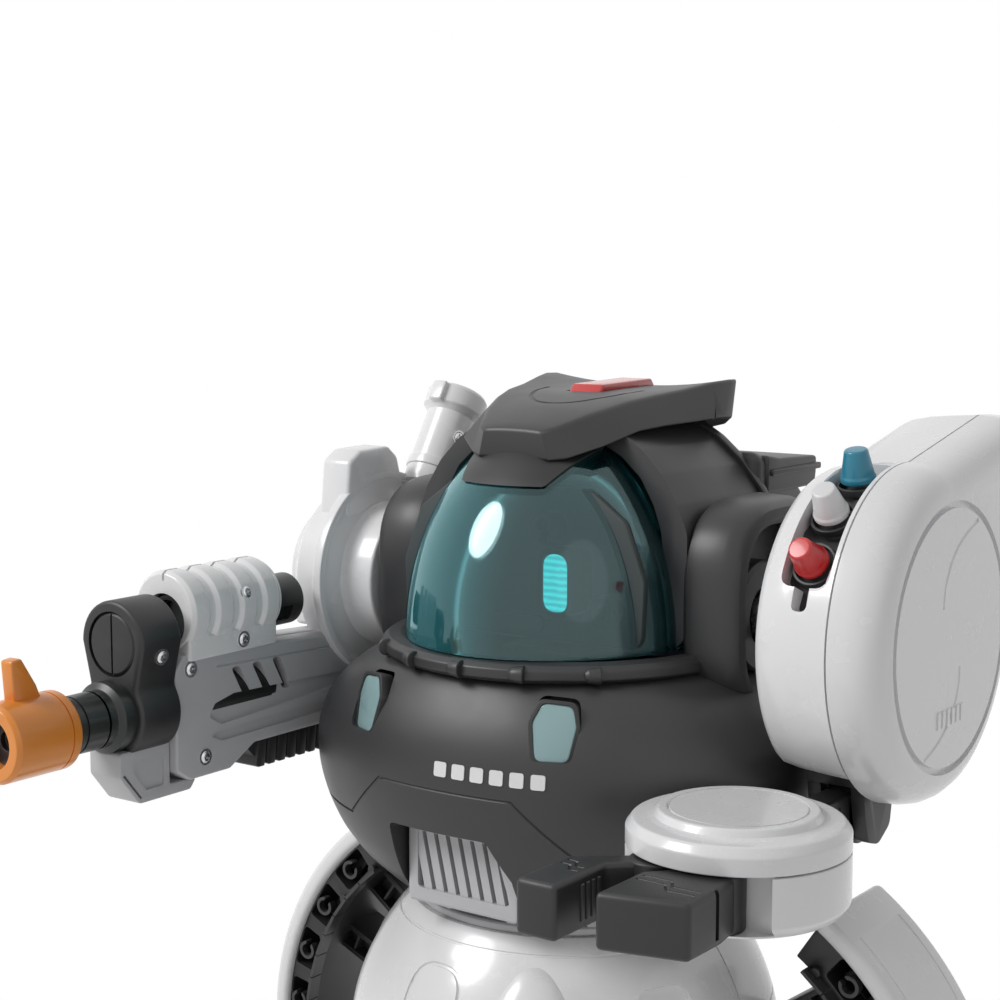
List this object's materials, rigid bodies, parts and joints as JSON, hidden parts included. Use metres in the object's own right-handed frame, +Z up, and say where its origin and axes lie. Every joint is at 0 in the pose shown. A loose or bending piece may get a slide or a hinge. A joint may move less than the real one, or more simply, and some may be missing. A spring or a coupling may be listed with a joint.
{
  "type": "toy robot",
  "caption": "Remote-control toy robot with a domed tinted visor, a drum shoulder with a clamp hand, a blaster arm, a turning waist and wheeled feet on bowed legs.",
  "frame": {"origin": "centre of the outline at floor level: on the robot's middle plane, halfway between the muzzle and the rear of the shoulder horn", "axes": "+Z up, the robot faces -Y, +X is the robot's left"},
  "size_m": [0.28, 0.246, 0.2955],
  "materials": {
    "white_shell": "moulded gloss white",
    "charcoal_shell": "fine satin moulded",
    "black_frame": "matte moulded",
    "barrel_black": "satin moulded",
    "blaster_grey": "satin moulded",
    "safety_orange": "bright safety colour",
    "lamp_red": "translucent red",
    "button_blue": "satin cap",
    "button_white": "satin cap",
    "button_red": "satin cap",
    "visor_tint": "tinted clear moulding",
    "lens": "pale clear lens",
    "face_dark": "matte moulded",
    "eye_glow": "lit diffuser",
    "inner_plastic": "unpainted moulding",
    "metal": "plain steel",
    "wheel_rubber": "matte tread",
    "board_green": "solder mask",
    "battery_wrap": "shrink wrap"
  },
  "bodies": {
    "root": {"pelvis_front_shell": "white_shell", "pelvis_rear_shell": "white_shell", "base_plate": "black_frame", "waist_bearing": "blaster_grey", "battery_pack": "battery_wrap", "battery_door": "white_shell", "main_board": "board_green", "leg_shells": "white_shell", "leg_frames": "black_frame", "leg_struts": "black_frame", "feet": "black_frame", "foot_motors": "metal", "wheel_axles": "metal"},
    "switch_knob": {"power_switch": "black_frame"},
    "front_left_wheel": {"wheel_front_left": "wheel_rubber"},
    "rear_left_wheel": {"wheel_rear_left": "wheel_rubber"},
    "front_right_wheel": {"wheel_front_right": "wheel_rubber"},
    "rear_right_wheel": {"wheel_rear_right": "wheel_rubber"},
    "torso": {"chest_shell": "charcoal_shell", "chest_grille": "blaster_grey", "headlight_lenses": "lens", "collar_ring": "charcoal_shell", "torso_frame": "inner_plastic", "visor": "visor_tint", "face_plate": "face_dark", "eye_panels": "eye_glow", "head_front_shell": "charcoal_shell", "head_rear_shell": "charcoal_shell", "cap": "charcoal_shell", "light_bar": "lamp_red", "shoulder_pods": "charcoal_shell", "shoulder_motors": "metal"},
    "left_arm": {"left_drum_inner": "white_shell", "left_drum_outer": "white_shell", "left_shoulder_shaft": "metal", "button_plate": "black_frame", "elbow_bracket": "black_frame", "elbow_pin": "metal"},
    "blue_key": {"blue_button": "button_blue"},
    "white_key": {"white_button": "button_white"},
    "red_key": {"red_button": "button_red"},
    "hand": {"forearm": "black_frame", "hand_upper_shell": "white_shell", "hand_lower_shell": "white_shell"},
    "outer_claw": {"outer_jaw": "black_frame"},
    "inner_claw": {"inner_jaw": "black_frame"},
    "right_arm": {"right_shoulder_shell": "white_shell", "right_shoulder_shaft": "metal", "exhaust_tube": "white_shell", "blaster_inner_half": "blaster_grey", "blaster_outer_half": "blaster_grey", "blaster_barrel": "barrel_black", "blaster_tip": "safety_orange", "scope_tube": "barrel_black", "scope_clamp": "white_shell", "front_bracket": "black_frame", "under_grip": "black_frame", "lower_block": "blaster_grey", "arm_screws": "metal"}
  },
  "joints": [
    {"name": "waist_turn", "type": "hinge", "parent": "root", "child": "torso", "pos_m": [0, 0.035, 0.112], "axis": [0, 0, 1], "range_deg": [-20, 20]},
    {"name": "left_shoulder", "type": "hinge", "parent": "torso", "child": "left_arm", "pos_m": [0.09, 0.049, 0.222], "axis": [1, 0, 0], "range_deg": [-60, 6]},
    {"name": "elbow_bend", "type": "hinge", "parent": "left_arm", "child": "hand", "pos_m": [0.101, 0.043, 0.167], "axis": [1, 0, 0], "range_deg": [0, 15]},
    {"name": "outer_jaw_swing", "type": "hinge", "parent": "hand", "child": "outer_claw", "pos_m": [0.109, -0.053, 0.1645], "axis": [0, 0, 1], "range_deg": [-8, 18]},
    {"name": "inner_jaw_swing", "type": "hinge", "parent": "hand", "child": "inner_claw", "pos_m": [0.089, -0.053, 0.1645], "axis": [0, 0, 1], "range_deg": [-18, 8]},
    {"name": "right_shoulder", "type": "hinge", "parent": "torso", "child": "right_arm", "pos_m": [-0.09, 0.049, 0.222], "axis": [1, 0, 0], "range_deg": [-70, 30]},
    {"name": "switch_slide", "type": "slide", "parent": "root", "child": "switch_knob", "axis": [1, 0, 0], "range_m": [0, 0.006]},
    {"name": "red_press", "type": "slide", "parent": "left_arm", "child": "red_key", "axis": [0, 0.848, -0.5299], "range_m": [0, 0.0015], "stiffness_N_per_m": 300, "springref_m": -0.0008},
    {"name": "white_press", "type": "slide", "parent": "left_arm", "child": "white_key", "axis": [0, 0.6018, -0.7986], "range_m": [0, 0.0015], "stiffness_N_per_m": 300, "springref_m": -0.0008},
    {"name": "blue_press", "type": "slide", "parent": "left_arm", "child": "blue_key", "axis": [0, 0.2419, -0.9703], "range_m": [0, 0.0015], "stiffness_N_per_m": 300, "springref_m": -0.0008},
    {"name": "front_left_spin", "type": "hinge", "parent": "root", "child": "front_left_wheel", "pos_m": [0.12, -0.005, 0.012], "axis": [1, 0, 0], "continuous": true},
    {"name": "rear_left_spin", "type": "hinge", "parent": "root", "child": "rear_left_wheel", "pos_m": [0.12, 0.075, 0.012], "axis": [1, 0, 0], "continuous": true},
    {"name": "front_right_spin", "type": "hinge", "parent": "root", "child": "front_right_wheel", "pos_m": [-0.12, -0.005, 0.012], "axis": [1, 0, 0], "continuous": true},
    {"name": "rear_right_spin", "type": "hinge", "parent": "root", "child": "rear_right_wheel", "pos_m": [-0.12, 0.075, 0.012], "axis": [1, 0, 0], "continuous": true}
  ],
  "couplings": [
    {"joint": "inner_jaw_swing", "follows": "outer_jaw_swing", "ratio": -1}
  ]
}
